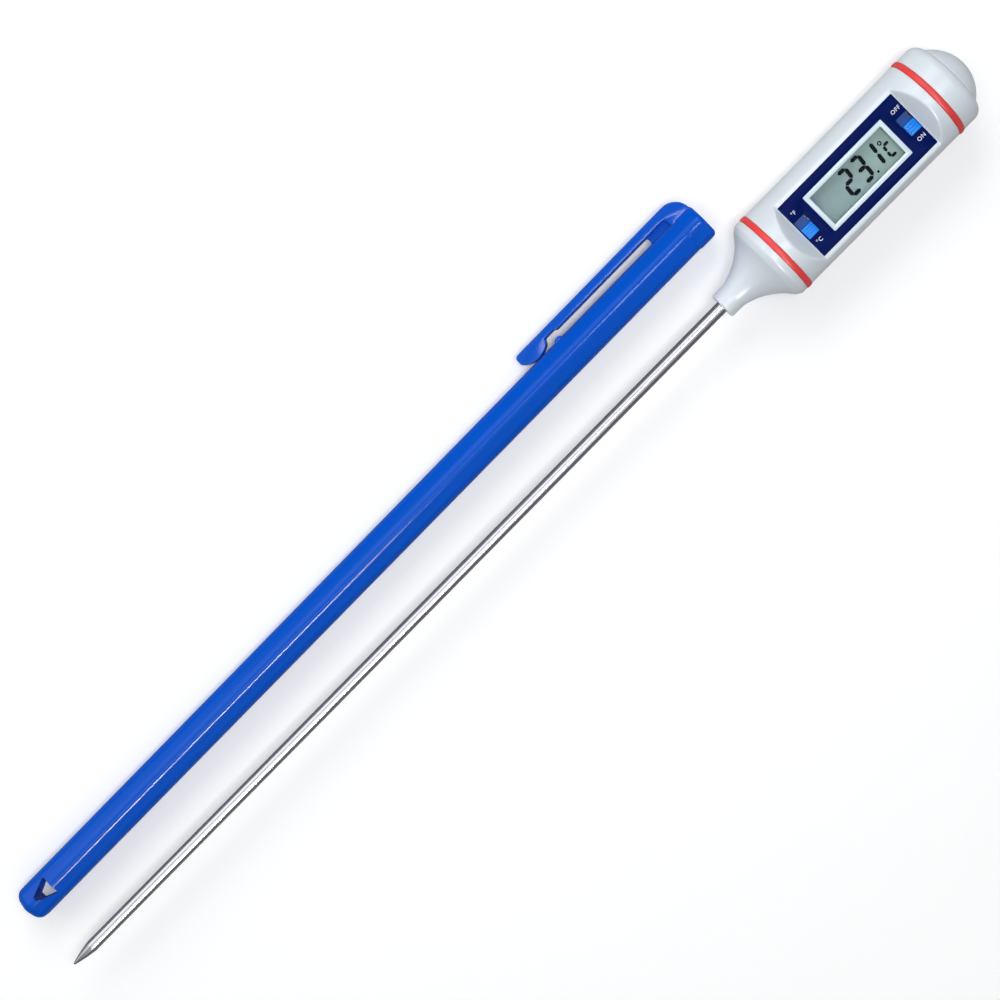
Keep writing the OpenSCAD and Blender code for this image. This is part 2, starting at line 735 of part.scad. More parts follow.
module sheath_tube() {
    web_t = 1.2;
    bump_r = 1.2;
    bump_h = 0.55;
    bump_x = clip_x0 + 9.6;
    closed_x = -sheath_l;
    hole_x0 = closed_x + end_wall;
    hole_x1 = hole_x0 + hole_l;
    hole_tip = 0.6;
    hole_corner = 0.4;
    reach = 2 * arm_y1;
    color("royalblue") sheath_place() difference() {
        union() {
            intersection() {
                union() {
                    hex_bar(closed_x, 0, half_flat, corner_r);
                    hex_bar(-collar_l, 0, collar_half, collar_r);
                }
                turned_x(concat(
                    [[0, closed_x]],
                    arc([corner_r - end_corner_r, closed_x + end_corner_r + 0.4], end_corner_r, -80, 0, 8),
                    [[corner_r + 0.01, -collar_l - 0.3], [collar_r + 0.01, -collar_l]],
                    arc([collar_r + 0.01 - mouth_round, -mouth_round], mouth_round, 0, 90, 8),
                    [[0, 0]]
                ));
            }
            translate([0, 0, -clip_w / 2]) linear_extrude(clip_w) root_outline();
            translate([0, 0, -web_t / 2]) linear_extrude(web_t) web_outline();
            translate([bump_x, half_flat - bump_r + bump_h, -clip_w / 2])
                cylinder(h = clip_w, r = bump_r);
        }
        rod_x(hole_x0, cut, sheath_bore_r);
        translate([0, 0, -reach]) linear_extrude(2 * reach)
            polygon([
                [hole_x0, hole_tip], [hole_x0, -hole_tip],
                [hole_x1 - hole_corner, -hole_w / 2], [hole_x1, hole_corner - hole_w / 2],
                [hole_x1, hole_w / 2 - hole_corner], [hole_x1 - hole_corner, hole_w / 2]
            ]);
    }
}

module pocket_clip() {
    color("royalblue") sheath_place() translate([0, 0, -clip_w / 2]) linear_extrude(clip_w) arm_outline();
}

stem_tube();
stem_ferrule();
thermistor_bead();
thermistor_leads();
tip_potting();
nose_cone();
front_seal_ring();
body_tube();
face_panel();
window_frame();
window_lens();
lcd_glass();
lcd_segments();
lcd_backing();
lcd_holder();
contact_strips();
circuit_board();
board_screws();
chip_cover();
quartz_crystal();
chip_resistors();
power_switch_case();
power_switch_knob();
unit_switch_case();
unit_switch_knob();
cell_plate();
ground_strip();
button_cell();
rear_seal_ring();
battery_cap();
cap_spring();
sheath_tube();
pocket_clip();
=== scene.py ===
import json
import math

import bmesh
import bpy
from mathutils import Matrix, Vector


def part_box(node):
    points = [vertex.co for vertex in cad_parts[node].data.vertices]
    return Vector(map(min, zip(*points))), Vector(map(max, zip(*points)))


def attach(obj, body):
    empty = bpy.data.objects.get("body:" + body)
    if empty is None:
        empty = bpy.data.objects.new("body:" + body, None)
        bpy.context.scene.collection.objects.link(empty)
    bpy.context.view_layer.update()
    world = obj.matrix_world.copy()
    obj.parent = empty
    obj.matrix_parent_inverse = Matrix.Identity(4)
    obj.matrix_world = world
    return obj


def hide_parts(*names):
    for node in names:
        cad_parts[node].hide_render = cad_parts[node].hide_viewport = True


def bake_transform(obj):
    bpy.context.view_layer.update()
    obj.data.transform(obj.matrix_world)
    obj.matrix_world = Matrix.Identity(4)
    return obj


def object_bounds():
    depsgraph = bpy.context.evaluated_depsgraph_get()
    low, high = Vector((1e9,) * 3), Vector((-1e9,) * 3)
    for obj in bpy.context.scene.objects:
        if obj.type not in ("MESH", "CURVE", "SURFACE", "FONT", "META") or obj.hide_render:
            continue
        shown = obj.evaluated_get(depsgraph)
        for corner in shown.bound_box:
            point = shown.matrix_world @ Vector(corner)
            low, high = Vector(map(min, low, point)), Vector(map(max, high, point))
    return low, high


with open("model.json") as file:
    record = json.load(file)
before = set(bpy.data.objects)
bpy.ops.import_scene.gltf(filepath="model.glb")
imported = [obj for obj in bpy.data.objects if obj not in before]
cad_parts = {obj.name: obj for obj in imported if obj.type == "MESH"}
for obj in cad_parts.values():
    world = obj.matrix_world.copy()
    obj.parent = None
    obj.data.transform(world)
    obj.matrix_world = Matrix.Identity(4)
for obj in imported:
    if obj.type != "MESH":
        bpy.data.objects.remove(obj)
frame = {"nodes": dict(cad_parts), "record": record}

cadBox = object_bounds()
scene = bpy.context.scene
print("stage 1: frame loaded")


# places read from the frame
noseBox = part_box("nose_cone")
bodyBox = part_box("body_tube")
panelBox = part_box("face_panel")
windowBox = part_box("window_frame")
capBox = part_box("battery_cap")
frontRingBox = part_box("front_seal_ring")
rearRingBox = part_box("rear_seal_ring")
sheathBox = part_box("sheath_tube")
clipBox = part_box("pocket_clip")
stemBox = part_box("stem_tube")
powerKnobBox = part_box("power_switch_knob")
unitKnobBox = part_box("unit_switch_knob")
record = frame["record"]
mounts = {m["name"]: m for m in record["mounts"]}
handleRadius = -noseBox[0].z
sheathAxis = Vector(mounts["sheath_bore"]["pos_m"])
mouthX = sheathBox[1].x


# where the camera stands
view = {
    "aim": (-0.0629, 0.0049, 0.0),  # the point looked at, on the stem's plane
    "distance": 0.484,
    "leanX": 6.0,                   # degrees over towards the cap
    "leanY": 7.5,                   # degrees over towards the sheath
    "roll": 45.76,                  # degrees the stem climbs across the view
    "lens": 80.66,
}


def makeCamera(v):
    data = bpy.data.cameras.new("camera")
    data.lens = v["lens"]
    data.sensor_width = 36.0
    data.clip_start = 0.01
    camera = bpy.data.objects.new("camera", data)
    scene.collection.objects.link(camera)
    back = Vector((math.tan(math.radians(v["leanX"])), math.tan(math.radians(v["leanY"])), 1)).normalized()
    roll = math.radians(v["roll"])
    up = Vector((math.sin(roll), math.cos(roll), 0))
    right = up.cross(back).normalized()
    up = back.cross(right)
    turn = Matrix((right, up, back)).transposed().to_4x4()
    camera.matrix_world = Matrix.Translation(Vector(v["aim"]) + back * v["distance"]) @ turn
    scene.camera = camera
    return camera


# lamps are (place, size, watts, tint)
studio = {
    "lamps": {
        "key": ((0.25, 0.50, 0.50), (0.45, 0.30), 1.2, (1.0, 0.995, 0.98)),
        "top": ((0.06, 0.02, 0.68), (0.20, 0.15), 1.4, (1.0, 1.0, 1.0)),
        "strip": ((-0.26, -0.01, 0.68), (0.42, 0.12), 0.5, (1.0, 1.0, 1.0)),
        "side": ((-0.15, 0.46, 0.36), (0.75, 0.42), 0.9, (1.0, 1.0, 1.0)),
        "edge": ((-0.32, -0.33, 0.60), (0.26, 0.05), 4.6, (0.97, 0.99, 1.0)),
        "card": ((-0.40, 0.42, 0.42), (0.90, 0.55), 1.2, (1.0, 1.0, 1.0)),
    },
    "mirrorOnly": ("edge", "card"),   # seen in reflections, give no soft light
    "sky": (0.93, 0.95, 0.96),
    "skyFrom": 0.2,                   # height where the sky starts to brighten
    "skyStrength": 0.5,
    "groundStrength": 0.12,
}


def makeLights(s):
    for name, (place, size, watts, tint) in s["lamps"].items():
        data = bpy.data.lights.new(name + "Light", "AREA")
        data.shape = "RECTANGLE"
        data.size, data.size_y = size
        data.energy = watts
        data.color = tint
        lamp = bpy.data.objects.new(name + "Light", data)
        scene.collection.objects.link(lamp)
        lamp.location = place
        lamp.visible_diffuse = name not in s["mirrorOnly"]
        back = (lamp.location - Vector(view["aim"])).normalized()
        along = Vector((0, 1, 0)).cross(back).normalized()
        lamp.rotation_euler = Matrix((along, back.cross(along), back)).transposed().to_euler()
    world = bpy.data.worlds.new("studioWorld")
    scene.world = world
    world.use_nodes = True
    tree = world.node_tree
    background = tree.nodes["Background"]
    direction = tree.nodes.new("ShaderNodeTexCoord")
    split = tree.nodes.new("ShaderNodeSeparateXYZ")
    ramp = tree.nodes.new("ShaderNodeMapRange")
    ramp.inputs["From Min"].default_value = s["skyFrom"]
    ramp.inputs["From Max"].default_value = 1.0
    ramp.inputs["To Min"].default_value = s["groundStrength"]
    ramp.inputs["To Max"].default_value = s["skyStrength"]
    ramp.interpolation_type = "SMOOTHSTEP"
    tree.links.new(direction.outputs["Generated"], split.inputs[0])
    tree.links.new(split.outputs["Z"], ramp.inputs["Value"])
    tree.links.new(ramp.outputs["Result"], background.inputs["Strength"])
    background.inputs["Color"].default_value = (*s["sky"], 1)
    scene.view_settings.view_transform = "Standard"
    scene.view_settings.look = "None"


makeCamera(view)
makeLights(studio)
print("stage 2: camera and studio light")


# small helpers for shader nodes, then the groups that several finishes share
def newGroup(name, inputs, outputs):
    group = bpy.data.node_groups.new(name, "ShaderNodeTree")
    for label, kind, value in inputs:
        socket = group.interface.new_socket(label, in_out="INPUT", socket_type=kind)
        socket.default_value = value
    for label, kind in outputs:
        group.interface.new_socket(label, in_out="OUTPUT", socket_type=kind)
    return group, group.nodes.new("NodeGroupInput"), group.nodes.new("NodeGroupOutput")


def mathNode(tree, operation, a, b):
    node = tree.nodes.new("ShaderNodeMath")
    node.operation = operation
    for index, value in enumerate((a, b)):
        if isinstance(value, (int, float)):
            node.inputs[index].default_value = value
        else:
            tree.links.new(value, node.inputs[index])
    return node.outputs[0]


def noiseNode(tree, vector, scale, detail, roughness=0.5):
    node = tree.nodes.new("ShaderNodeTexNoise")
    node.inputs["Detail"].default_value = detail
    node.inputs["Roughness"].default_value = roughness
    if vector is not None:
        tree.links.new(vector, node.inputs["Vector"])
    if isinstance(scale, (int, float)):
        node.inputs["Scale"].default_value = scale
    else:
        tree.links.new(scale, node.inputs["Scale"])
    return node.outputs["Fac"]


def centred(tree, value, amount):
    # a value from 0 to 1 made even about nought, times amount
    return mathNode(tree, "MULTIPLY", mathNode(tree, "SUBTRACT", value, 0.5), amount)


def share(tree, a, b, part):
    # part of a with the rest of b
    first, second = mathNode(tree, "MULTIPLY", a, part), mathNode(tree, "MULTIPLY", b, 1 - part)
    return mathNode(tree, "ADD", first, second)


def makeMouldedGrain():
    group, inside, outside = newGroup(
        "mouldedGrain",
        [("Color", "NodeSocketColor", (0.8, 0.8, 0.8, 1)), ("Shade", "NodeSocketFloat", 0.05),
         ("Roughness", "NodeSocketFloat", 0.35), ("Spread", "NodeSocketFloat", 0.08),
         ("Grain Scale", "NodeSocketFloat", 2600.0), ("Cloud Scale", "NodeSocketFloat", 60.0)],
        [("Color", "NodeSocketColor"), ("Roughness", "NodeSocketFloat"), ("Height", "NodeSocketFloat")])
    place = group.nodes.new("ShaderNodeTexCoord").outputs["Object"]
    grain = noiseNode(group, place, inside.outputs["Grain Scale"], 3.0)
    cloud = noiseNode(group, place, inside.outputs["Cloud Scale"], 2.0)
    lift = centred(group, cloud, inside.outputs["Shade"])
    hue = group.nodes.new("ShaderNodeHueSaturation")
    group.links.new(inside.outputs["Color"], hue.inputs["Color"])
    group.links.new(mathNode(group, "ADD", lift, 1.0), hue.inputs["Value"])
    spread = centred(group, share(group, grain, cloud, 0.6), inside.outputs["Spread"])
    rough = mathNode(group, "ADD", inside.outputs["Roughness"], spread)
    group.links.new(hue.outputs["Color"], outside.inputs["Color"])
    group.links.new(rough, outside.inputs["Roughness"])
    group.links.new(grain, outside.inputs["Height"])
    return group


def makeDrawLines():
    group, inside, outside = newGroup(
        "drawLines",
        [("Roughness", "NodeSocketFloat", 0.2), ("Spread", "NodeSocketFloat", 0.15),
         ("Across", "NodeSocketFloat", 5000.0), ("Along", "NodeSocketFloat", 60.0)],
        [("Roughness", "NodeSocketFloat"), ("Height", "NodeSocketFloat")])
    place = group.nodes.new("ShaderNodeTexCoord").outputs["Object"]
    stretch = group.nodes.new("ShaderNodeCombineXYZ")
    group.links.new(inside.outputs["Along"], stretch.inputs["X"])
    group.links.new(inside.outputs["Across"], stretch.inputs["Y"])
    group.links.new(inside.outputs["Across"], stretch.inputs["Z"])
    scaled = group.nodes.new("ShaderNodeVectorMath")
    scaled.operation = "MULTIPLY"
    group.links.new(place, scaled.inputs[0])
    group.links.new(stretch.outputs[0], scaled.inputs[1])
    lines = noiseNode(group, scaled.outputs[0], 1.0, 3.0, 0.6)
    smear = noiseNode(group, place, 45.0, 2.0)
    spread = centred(group, share(group, lines, smear, 0.7), inside.outputs["Spread"])
    rough = mathNode(group, "ADD", inside.outputs["Roughness"], spread)
    group.links.new(rough, outside.inputs["Roughness"])
    group.links.new(lines, outside.inputs["Height"])
    return group


def makeHandlingMarks():
    group, inside, outside = newGroup(
        "handlingMarks",
        [("Color", "NodeSocketColor", (0.5, 0.5, 0.5, 1)),
         ("Mark Color", "NodeSocketColor", (0.8, 0.8, 0.8, 1)),
         ("Amount", "NodeSocketFloat", 0.2), ("Scale", "NodeSocketFloat", 900.0)],
        [("Color", "NodeSocketColor")])
    place = group.nodes.new("ShaderNodeTexCoord").outputs["Object"]
    stretch = group.nodes.new("ShaderNodeMapping")
    stretch.inputs["Scale"].default_value = (0.12, 1.0, 1.0)
    stretch.inputs["Rotation"].default_value = (0, 0, 0.35)
    group.links.new(place, stretch.inputs["Vector"])
    scratch = noiseNode(group, stretch.outputs[0], inside.outputs["Scale"], 4.0, 0.65)
    patch = noiseNode(group, place, 55.0, 2.0)
    ramp = group.nodes.new("ShaderNodeMapRange")
    ramp.inputs["From Min"].default_value = 0.62
    ramp.inputs["From Max"].default_value = 0.74
    group.links.new(scratch, ramp.inputs["Value"])
    mask = mathNode(group, "MULTIPLY", mathNode(group, "MULTIPLY", ramp.outputs["Result"], patch),
                    inside.outputs["Amount"])
    mix = group.nodes.new("ShaderNodeMix")
    mix.data_type = "RGBA"
    group.links.new(mask, mix.inputs["Factor"])
    group.links.new(inside.outputs["Color"], mix.inputs["A"])
    group.links.new(inside.outputs["Mark Color"], mix.inputs["B"])
    group.links.new(mix.outputs["Result"], outside.inputs["Color"])
    return group


mouldedGrain = makeMouldedGrain()
drawLines = makeDrawLines()
handlingMarks = makeHandlingMarks()


def linear(*rgb):
    # a colour as a paint chart gives it, 0 to 255, in Blender's linear values
    return tuple(((c / 255 + 0.055) / 1.055) ** 2.4 if c > 10 else c / 255 / 12.92 for c in rgb) + (1,)


def newMaterial(name, metallic=0.0, coat=0.0, coatRoughness=0.05, transmission=0.0, ior=1.5, specular=0.5):
    material = bpy.data.materials.new(name)
    material.use_nodes = True
    shader = material.node_tree.nodes["Principled BSDF"]
    for label, value in (("Metallic", metallic), ("Coat Weight", coat), ("Coat Roughness", coatRoughness),
                         ("Transmission Weight", transmission), ("IOR", ior),
                         ("Specular IOR Level", specular)):
        shader.inputs[label].default_value = value
    return material, material.node_tree, shader


def placeGroup(tree, group, values):
    node = tree.nodes.new("ShaderNodeGroup")
    node.node_tree = group
    for label, value in values.items():
        node.inputs[label].default_value = value
    return node


def addBump(tree, shader, height, strength, depth):
    bump = tree.nodes.new("ShaderNodeBump")
    bump.inputs["Strength"].default_value = strength
    bump.inputs["Distance"].default_value = depth
    tree.links.new(height, bump.inputs["Height"])
    tree.links.new(bump.outputs["Normal"], shader.inputs["Normal"])


def mouldedPlastic(name, color, roughness, spread=0.08, shade=0.06, grain=2600.0, bump=0.08, marks=None,
                   **kinds):
    material, tree, shader = newMaterial(name, **kinds)
    surface = placeGroup(tree, mouldedGrain, {
        "Color": color, "Shade": shade, "Roughness": roughness, "Spread": spread, "Grain Scale": grain})
    tree.links.new(surface.outputs["Roughness"], shader.inputs["Roughness"])
    if marks:
        worn = placeGroup(tree, handlingMarks, {"Mark Color": marks[0], "Amount": marks[1]})
        tree.links.new(surface.outputs["Color"], worn.inputs["Color"])
        tree.links.new(worn.outputs["Color"], shader.inputs["Base Color"])
    else:
        tree.links.new(surface.outputs["Color"], shader.inputs["Base Color"])
    addBump(tree, shader, surface.outputs["Height"], bump, 0.00002)
    return material


def drawnMetal(name, color, roughness, spread=0.12, bump=0.05, across=5000.0, along=60.0):
    material, tree, shader = newMaterial(name, metallic=1.0)
    lines = placeGroup(tree, drawLines, {
        "Roughness": roughness, "Spread": spread, "Across": across, "Along": along})
    tint = placeGroup(tree, mouldedGrain, {"Color": color, "Shade": 0.08, "Grain Scale": 1800.0})
    tree.links.new(tint.outputs["Color"], shader.inputs["Base Color"])
    tree.links.new(lines.outputs["Roughness"], shader.inputs["Roughness"])
    addBump(tree, shader, lines.outputs["Height"], bump, 0.00001)
    return material


def clearGlass(name, tint):
    material, tree, shader = newMaterial(name, transmission=1.0, ior=1.12)
    haze = placeGroup(tree, mouldedGrain, {
        "Color": tint, "Shade": 0.02, "Roughness": 0.02, "Spread": 0.02, "Grain Scale": 900.0})
    tree.links.new(haze.outputs["Color"], shader.inputs["Base Color"])
    tree.links.new(haze.outputs["Roughness"], shader.inputs["Roughness"])
    path = tree.nodes.new("ShaderNodeLightPath")   # shadows and soft light pass straight through
    through = tree.nodes.new("ShaderNodeBsdfTransparent")
    mix = tree.nodes.new("ShaderNodeMixShader")
    output = tree.nodes["Material Output"]
    anyPath = mathNode(tree, "MAXIMUM", path.outputs["Is Shadow Ray"], path.outputs["Is Diffuse Ray"])
    tree.links.new(anyPath, mix.inputs[0])
    tree.links.new(shader.outputs[0], mix.inputs[1])
    tree.links.new(through.outputs[0], mix.inputs[2])
    tree.links.new(mix.outputs[0], output.inputs["Surface"])
    return material


def displayFilm(name):
    material, tree, shader = newMaterial(name, specular=0.3)
    place = tree.nodes.new("ShaderNodeTexCoord").outputs["Object"]
    split = tree.nodes.new("ShaderNodeSeparateXYZ")
    tree.links.new(place, split.inputs[0])
    # painted shade: the film goes from darker at the stem end of the window to lighter at the cap end
    ramp = tree.nodes.new("ShaderNodeMapRange")
    ramp.inputs["From Min"].default_value = windowBox[0].x
    ramp.inputs["From Max"].default_value = windowBox[1].x
    tree.links.new(split.outputs["X"], ramp.inputs["Value"])
    speck = noiseNode(tree, place, 9000.0, 2.0)
    mix = tree.nodes.new("ShaderNodeMix")
    mix.data_type = "RGBA"
    mix.inputs["A"].default_value = linear(132, 152, 158)
    mix.inputs["B"].default_value = linear(146, 170, 164)
    tree.links.new(ramp.outputs["Result"], mix.inputs["Factor"])
    fine = tree.nodes.new("ShaderNodeHueSaturation")
    tree.links.new(mix.outputs["Result"], fine.inputs["Color"])
    lift = mathNode(tree, "ADD", mathNode(tree, "MULTIPLY", speck, 0.08), 0.96)
    tree.links.new(lift, fine.inputs["Value"])
    tree.links.new(fine.outputs["Color"], shader.inputs["Base Color"])
    rough = mathNode(tree, "ADD", mathNode(tree, "MULTIPLY", speck, 0.2), 0.4)
    tree.links.new(rough, shader.inputs["Roughness"])
    addBump(tree, shader, speck, 0.05, 0.00001)
    return material


finishes = {
    "white_plastic": mouldedPlastic(
        "whitePlastic", linear(222, 230, 238), 0.34, marks=(linear(198, 204, 214), 0.16), coat=0.12,
        coatRoughness=0.25),
    "blue_plastic": mouldedPlastic(
        "bluePlastic", linear(0, 83, 200), 0.13, spread=0.05, shade=0.05, bump=0.02,
        marks=(linear(30, 110, 225), 0.2), specular=0.17),
    "red_rubber": mouldedPlastic("redSilicone", linear(236, 58, 56), 0.42, grain=3800.0, bump=0.15),
    "navy_print": mouldedPlastic(
        "navyPrint", linear(0, 20, 86), 0.4, shade=0.1, grain=6000.0, bump=0.05, specular=0.03),
    "labelInk": mouldedPlastic("labelInk", linear(236, 240, 248), 0.5, shade=0.04, grain=7000.0, bump=0.1),
    "window_plastic": mouldedPlastic("windowPlastic", linear(208, 226, 238), 0.3, coat=0.15),
    "clear_lens": clearGlass("clearLens", (0.99, 1.0, 1.0, 1)),
    "display_glass": clearGlass("displayGlass", (0.93, 0.97, 0.95, 1)),
    "display_grey": displayFilm("displayFilm"),
    "segment_ink": mouldedPlastic(
        "segmentInk", linear(0, 14, 30), 0.6, grain=8000.0, bump=0.02, specular=0.05),
    "switch_blue": mouldedPlastic(
        "switchPlastic", linear(0, 134, 240), 0.3, shade=0.06, grain=4200.0, specular=0.25),
    # painted shade: the sunken plate is the knob's own blue plastic, made darker for the shadow it sits in
    # below the panel
    "shadedSwitchPlate": mouldedPlastic("shadedSwitchPlate", linear(0, 74, 150), 0.35, grain=4200.0, specular=0.2),
    "stainless": drawnMetal("stainlessSteel", linear(186, 186, 193), 0.24, spread=0.06, bump=0.012),
    "brass": drawnMetal("turnedBrass", linear(214, 170, 84), 0.28, across=60.0, along=5000.0),
    "nickel": drawnMetal("nickelPlate", linear(205, 204, 198), 0.26),
    "cell_steel": drawnMetal("cellSteel", linear(208, 208, 208), 0.3, across=2500.0, along=2500.0),
    "gilt": drawnMetal("giltStrip", linear(222, 184, 96), 0.25),
    "board_green": mouldedPlastic(
        "solderMask", linear(22, 104, 54), 0.28, shade=0.15, grain=1500.0, coat=0.3),
    "holder_plastic": mouldedPlastic("holderPlastic", linear(225, 222, 208), 0.45),
    "zebra_rubber": mouldedPlastic("zebraRubber", linear(216, 146, 156), 0.55, grain=5000.0, bump=0.2),
    "black_epoxy": mouldedPlastic("blackEpoxy", linear(20, 20, 22), 0.22, shade=0.2, grain=1200.0),
    "potting": mouldedPlastic("pottingResin", linear(74, 74, 78), 0.5, shade=0.2, grain=3000.0, bump=0.25),
    "lead_enamel": drawnMetal("leadEnamel", linear(166, 78, 40), 0.3),
    "resistor_body": mouldedPlastic("resistorBody", linear(36, 36, 40), 0.4, grain=6000.0),
}
nodeSlots = {s["node"]: s["material_slot"] for s in record["subparts"]}


def paint(obj, finish):
    obj.data.materials.clear()
    obj.data.materials.append(finishes[finish])


for nodeName, nodeObject in frame["nodes"].items():
    material = finishes[nodeSlots[nodeName]]
    if nodeObject.material_slots:
        for materialSlot in nodeObject.material_slots:
            materialSlot.material = material
    else:
        nodeObject.data.materials.append(material)
print("stage 3: finishes")


# helpers that make and cut meshes
def newPiece(name, vertices, faces, smooth=32):
    mesh = bpy.data.meshes.new(name)
    mesh.from_pydata([tuple(v) for v in vertices], [], faces)
    mesh.validate()
    obj = bpy.data.objects.new(name, mesh)
    scene.collection.objects.link(obj)
    work = bmesh.new()
    work.from_mesh(mesh)
    bmesh.ops.recalc_face_normals(work, faces=work.faces)
    work.to_mesh(mesh)
    work.free()
    mesh.shade_smooth()
    mesh.set_sharp_from_angle(angle=math.radians(smooth))
    return obj


def useModifier(obj, modifier, smooth=32):
    bpy.context.view_layer.update()
    name = modifier.name
    with bpy.context.temp_override(object=obj, active_object=obj, selected_objects=[obj]):
        bpy.ops.object.modifier_apply(modifier=name)
    obj.data.shade_smooth()
    obj.data.set_sharp_from_angle(angle=math.radians(smooth))


def cutWith(obj, cutter, smooth=32):
    modifier = obj.modifiers.new("cut", "BOOLEAN")
    modifier.operation = "DIFFERENCE"
    modifier.solver = "MANIFOLD"
    modifier.object = cutter
    useModifier(obj, modifier, smooth)
    bpy.data.objects.remove(cutter)


def joinPieces(pieces):
    work = bmesh.new()
    for piece in pieces:
        work.from_mesh(piece.data)
    work.to_mesh(pieces[0].data)
    work.free()
    for piece in pieces[1:]:
        bpy.data.objects.remove(piece)
    return pieces[0]


def softenEdges(obj, width, segments=3, angle=35, smooth=40):
    modifier = obj.modifiers.new("soften", "BEVEL")
    modifier.width = width
    modifier.segments = segments
    modifier.limit_method = "ANGLE"
    modifier.angle_limit = math.radians(angle)
    modifier.harden_normals = False
    useModifier(obj, modifier, smooth)


def roundedPath(points, steps=6):
    # Each point is (a, b) or (a, b, radius): a corner with a radius becomes an arc. The path is closed.
    path = []
    count = len(points)
    for i, point in enumerate(points):
        here = Vector(point[:2])
        radius = point[2] if len(point) > 2 else 0
        if radius <= 0:
            path.append(here)
            continue
        before = (Vector(points[i - 1][:2]) - here).normalized()
        after = (Vector(points[(i + 1) % count][:2]) - here).normalized()
        half = math.acos(max(-1, min(1, before.dot(after)))) / 2
        reach = radius / math.tan(half)
        centre = here + (before + after).normalized() * (radius / math.sin(half))
        first = here + before * reach - centre
        last = here + after * reach - centre
        sweep = first.angle_signed(last)
        for k in range(steps + 1):
            turned = first.copy()
            turned.rotate(Matrix.Rotation(-sweep * k / steps, 2))
            path.append(centre + turned)
    return path


def bandFaces(rings, closed=False):
    # squares between each ring of points and the next
    faces = []
    for ring, following in zip(rings, rings[1:] + rings[:1] if closed else rings[1:]):
        count = len(ring)
        faces += [[ring[k], ring[(k + 1) % count], following[(k + 1) % count], following[k]]
                  for k in range(count)]
    return faces


def lathe(name, path, steps=144, smooth=32):
    # path is a closed loop of (x, radius) points, turned about the X axis
    vertices, rings = [], []
    for x, radius in path:
        if radius < 1e-7:
            rings.append([len(vertices)] * steps)
            vertices.append((x, 0, 0))
        else:
            rings.append(list(range(len(vertices), len(vertices) + steps)))
            for k in range(steps):
                a = 2 * math.pi * k / steps
                vertices.append((x, radius * math.cos(a), radius * math.sin(a)))
    faces = []
    for i, ring in enumerate(rings):
        following = rings[(i + 1) % len(rings)]
        if len(set(ring)) == 1 and len(set(following)) == 1:
            continue
        for k in range(steps):
            j = (k + 1) % steps
            quad = [ring[k], ring[j], following[j], following[k]]
            face = [v for n, v in enumerate(quad) if v not in quad[:n]]
            faces.append(face)
    return newPiece(name, vertices, faces, smooth)


def prism(name, outline, low, high, smooth=32):
    # outline is a closed list of (x, y) points, raised from low to high
    count = len(outline)
    vertices = [(x, y, low) for x, y in outline] + [(x, y, high) for x, y in outline]
    faces = [list(range(count - 1, -1, -1)), list(range(count, 2 * count))]
    faces += [[k, (k + 1) % count, count + (k + 1) % count, count + k] for k in range(count)]
    return newPiece(name, vertices, faces, smooth)


def slab(name, x0, x1, y0, y1, z0, z1, radius=0.0, smooth=32):
    corners = [(x0, y0, radius), (x1, y0, radius), (x1, y1, radius), (x0, y1, radius)]
    return prism(name, roundedPath(corners, 5), z0, z1, smooth)


def finishPiece(obj, finish, bodyName, *nodes):
    paint(obj, finish)
    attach(obj, bodyName)
    if nodes:
        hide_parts(*nodes)
    return obj


# the stem, ground to a point
stem = {
    "coneLength": 0.0059,
    "tipRadius": 0.00028,
    "bulge": 0.00012,      # how far the ground cone swells
    "endEdge": 0.0001,
}


def makeStem(s):
    radius = stemBox[1].y
    tipX, endX = stemBox[0].x, stemBox[1].x
    coneX = tipX + s["coneLength"]
    path = [(tipX, 0)]
    for k in range(1, 6):
        a = math.radians(15 * k)
        path.append((tipX + s["tipRadius"] * (1 - math.cos(a)), s["tipRadius"] * math.sin(a)))
    for k in range(1, 17):
        t = k / 16
        bow = s["bulge"] * math.sin(math.pi * t)
        path.append((path[5][0] + (coneX - path[5][0]) * t, path[5][1] + (radius - path[5][1]) * t + bow))
    path += [(coneX + 0.0005, radius)] + [(coneX + (endX - coneX) * k / 40, radius) for k in range(1, 40)]
    path += [(endX - s["endEdge"], radius), (endX, radius * 0.9), (endX, 0)]
    return finishPiece(lathe("stemTube", path, 96, 50), "stainless", "thermometer", "stem_tube")


# the nose cone: neck, flare, shoulder and the spigot that goes into the body
nose = {
    "neckRadius": 0.0031,
    "neckLength": 0.0033,
    "neckRound": 0.00045,
    "flareX": 0.0126,          # where the hollow flare ends
    "flareArc": 0.0147,
    "shoulderStep": 0.001,     # how far below the handle's surface it ends
    "shoulderLength": 0.0014,
    "shoulderRound": 0.0009,
    "spigotRadius": 0.00815,
    "boreRadius": 0.00143,
}


def makeNose(n):
    endX, spigotX = frontRingBox[0].x, noseBox[1].x
    a = Vector((n["neckLength"], n["neckRadius"]))
    b = Vector((n["flareX"], handleRadius - n["shoulderStep"]))
    mid, gap = (a + b) / 2, b - a
    rise = math.sqrt(n["flareArc"] ** 2 - gap.length_squared / 4)
    centre = mid + Vector((-gap.y, gap.x)).normalized() * rise
    start = math.atan2(a.y - centre.y, a.x - centre.x)
    stop = math.atan2(b.y - centre.y, b.x - centre.x)
    r = n["neckRadius"]
    path = roundedPath([(0, n["boreRadius"]), (0, r, n["neckRound"]), (n["neckLength"] * 0.6, r)])
    for k in range(29):
        angle = start + (stop - start) * k / 28
        path.append(centre + n["flareArc"] * Vector((math.cos(angle), math.sin(angle))))
    b = path.pop()
    shoulderX = b.x + n["shoulderLength"]
    path += roundedPath([(b.x, b.y, 0), (b.x + 0.0002, b.y + 0.00022),
                         (shoulderX, handleRadius, n["shoulderRound"]),
                         (endX, handleRadius, 0.00018), (endX, n["spigotRadius"]),
                         (spigotX, n["spigotRadius"], 0.0003), (spigotX, n["boreRadius"])])
    return finishPiece(lathe("noseCone", path, 192, 24), "white_plastic", "thermometer", "nose_cone")


